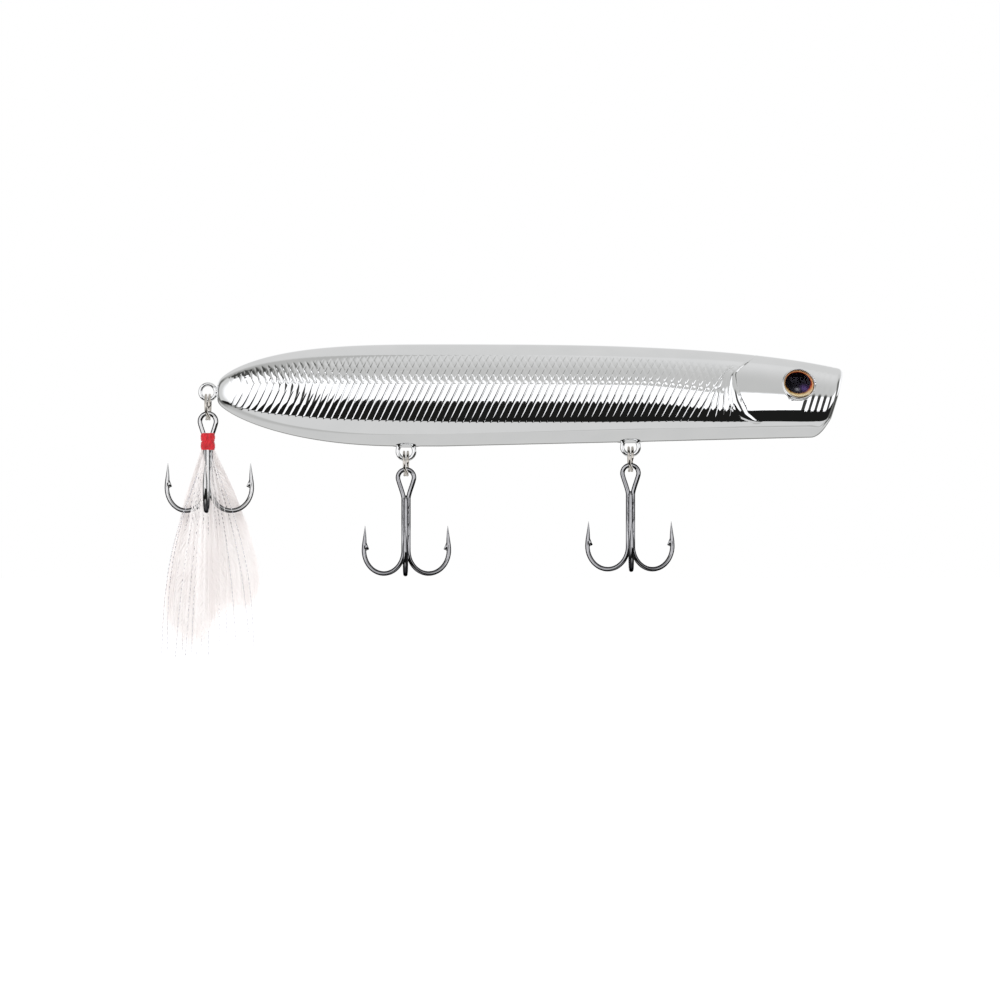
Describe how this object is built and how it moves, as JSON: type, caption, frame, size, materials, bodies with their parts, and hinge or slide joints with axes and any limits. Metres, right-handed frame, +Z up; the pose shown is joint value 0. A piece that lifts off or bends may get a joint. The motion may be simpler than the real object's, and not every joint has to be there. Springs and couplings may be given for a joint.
{
  "type": "topwater popper fishing lure",
  "caption": "Slim hollow surface lure with a cupped face, mirror-plated scaled body, belly trebles and a feather-dressed tail treble on split rings.",
  "frame": {"origin": "centre of the line-tie hole, in the middle of the cupped mouth", "axes": "+X along the body towards the nose, +Y to the lure's left, along the line-tie hole, +Z up towards the back"},
  "size_m": [0.1363, 0.0196, 0.0626],
  "materials": {
    "plated_shell": "polished",
    "eye_foil": "gloss",
    "eye_lens": "gloss",
    "hanger_wire": "polished",
    "ring_nickel": "gloss",
    "black_nickel": "gloss",
    "bright_hook": "gloss",
    "red_thread": "satin",
    "white_hackle": "satin",
    "tinsel_film": "gloss",
    "ball_steel": "polished"
  },
  "bodies": {
    "body": {"right_shell": "plated_shell", "left_shell": "plated_shell", "right_eye_film": "eye_foil", "left_eye_film": "eye_foil", "right_eye_lens": "eye_lens", "left_eye_lens": "eye_lens", "line_tie": "hanger_wire", "front_belly_hanger": "hanger_wire", "rear_belly_hanger": "hanger_wire", "tail_hanger": "hanger_wire", "tail_weights": "ball_steel"},
    "front_ring": {"front_split_ring": "ring_nickel"},
    "rear_ring": {"rear_split_ring": "ring_nickel"},
    "tail_ring": {"tail_split_ring": "ring_nickel"},
    "front_treble": {"front_double_hook": "black_nickel", "front_single_hook": "black_nickel"},
    "rear_treble": {"rear_double_hook": "black_nickel", "rear_single_hook": "black_nickel"},
    "tail_treble": {"tail_double_hook": "bright_hook", "tail_single_hook": "bright_hook", "thread_wrap": "red_thread", "feather_dressing": "white_hackle", "tinsel": "tinsel_film"},
    "knocker": {"knocker_ball": "ball_steel"},
    "front_rattle": {"front_rattle_ball": "ball_steel"},
    "rear_rattle": {"rear_rattle_ball": "ball_steel"}
  },
  "joints": [
    {"name": "front_ring_swing", "type": "hinge", "parent": "body", "child": "front_ring", "pos_m": [-0.0377, 0, -0.01078], "axis": [1, 0, 0], "range_deg": [-60, 60]},
    {"name": "front_hook_swing", "type": "hinge", "parent": "front_ring", "child": "front_treble", "pos_m": [-0.0377, 0, -0.01443], "axis": [0, 1, 0], "range_deg": [-50, 50]},
    {"name": "rear_ring_swing", "type": "hinge", "parent": "body", "child": "rear_ring", "pos_m": [-0.0826, 0, -0.01165], "axis": [1, 0, 0], "range_deg": [-60, 60]},
    {"name": "rear_hook_swing", "type": "hinge", "parent": "rear_ring", "child": "rear_treble", "pos_m": [-0.0826, 0, -0.0153], "axis": [0, 1, 0], "range_deg": [-50, 50]},
    {"name": "tail_ring_swing", "type": "hinge", "parent": "body", "child": "tail_ring", "pos_m": [-0.1222, 0, 0.00025], "axis": [1, 0, 0], "range_deg": [-70, 70]},
    {"name": "tail_hook_swing", "type": "hinge", "parent": "tail_ring", "child": "tail_treble", "pos_m": [-0.1222, 0, -0.0041], "axis": [0, 1, 0], "range_deg": [-30, 90]},
    {"name": "knocker_slide", "type": "slide", "parent": "body", "child": "knocker", "axis": [1, 0, 0], "range_m": [-0.00595, 0.00595]},
    {"name": "front_rattle_slide", "type": "slide", "parent": "body", "child": "front_rattle", "axis": [1, 0, 0], "range_m": [-0.00095, 0.00095]},
    {"name": "rear_rattle_slide", "type": "slide", "parent": "body", "child": "rear_rattle", "axis": [1, 0, 0], "range_m": [-0.00095, 0.00095]}
  ]
}
